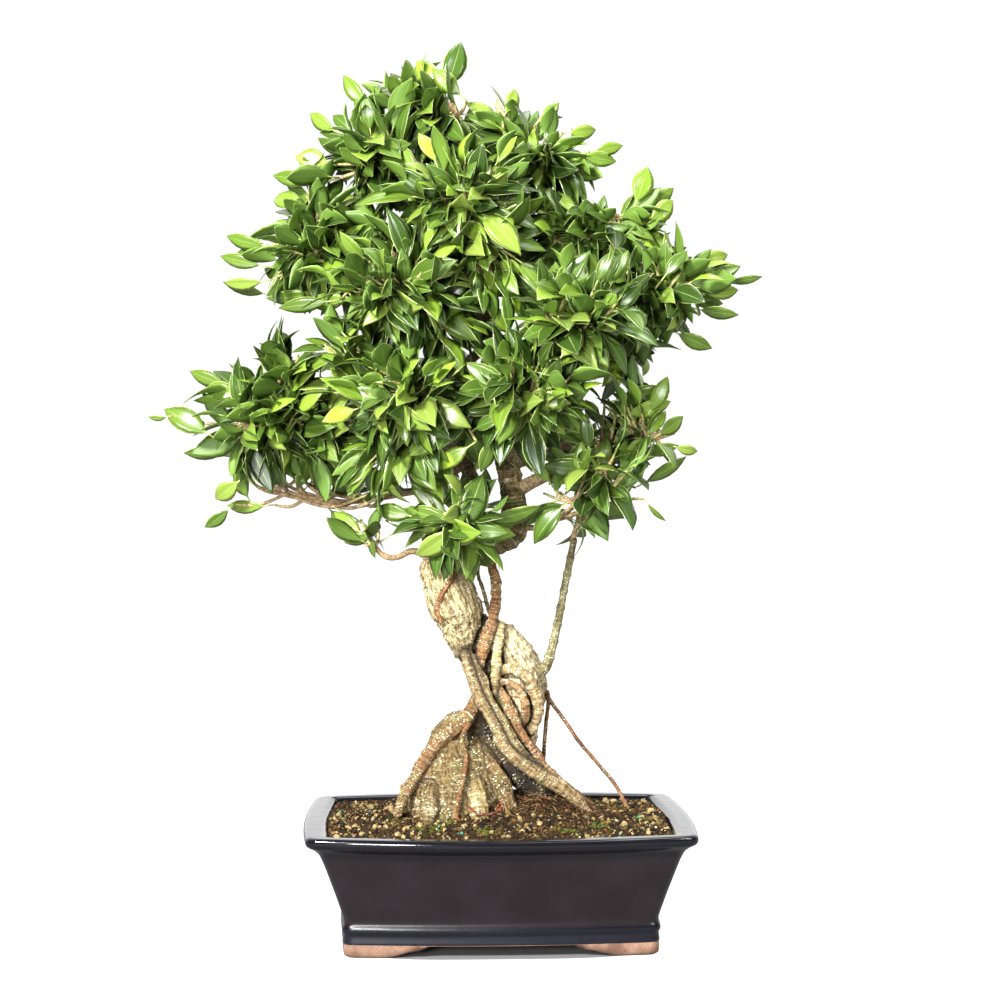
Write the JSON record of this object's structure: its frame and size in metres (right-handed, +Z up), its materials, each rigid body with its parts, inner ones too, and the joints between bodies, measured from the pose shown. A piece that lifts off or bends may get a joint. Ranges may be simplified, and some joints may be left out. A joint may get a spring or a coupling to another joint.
{
  "type": "bonsai tree in a pot",
  "caption": "Broad-leaved fig grown as a bonsai, with twisted aerial roots and a dense crown, planted in a bowed rectangular glazed pot on four feet.",
  "frame": {"origin": "middle of the whole part's footprint box, at the bottom of the pot's feet", "axes": "+Z up, the pot's long front faces -Y, +X to the right as seen from the front"},
  "size_m": [0.6302, 0.366, 0.8974],
  "materials": {
    "pot_glaze": "dark navy-black glaze, glossy on the lip and bead, satin on the walls; the foot is bare pinkish-tan clay",
    "potting_mix": "granular bark and grit mix with moss and green feed beads, matt",
    "screen_plastic": "black moulded plastic, matt",
    "bark": "pale cream and olive bark with rings and white specks",
    "foliage": "glossy mid-green leaves with a pale rib and margin, on tan and olive twigs"
  },
  "bodies": {
    "root": {"pot": "pot_glaze", "soil": "potting_mix", "drain_screen_left": "screen_plastic", "drain_screen_right": "screen_plastic", "trunk": "bark", "branch_apex": "foliage", "branch_top_left": "foliage", "branch_top_right": "foliage", "branch_top_front": "foliage", "branch_top_back": "foliage", "branch_left_upper": "foliage", "branch_left_upper_front": "foliage", "branch_left_upper_back": "foliage", "branch_right_upper": "foliage", "branch_right": "foliage", "branch_right_front": "foliage", "branch_right_back": "foliage", "branch_left_low": "foliage", "branch_left_low_under": "foliage", "branch_left_front": "foliage", "branch_middle_front": "foliage", "branch_low_back": "foliage", "branch_right_low": "foliage", "branch_right_low_front": "foliage", "branch_right_low_back": "foliage", "branch_front_low": "foliage", "branch_left_sprig": "foliage", "branch_sucker_tip": "foliage"}
  },
  "joints": []
}
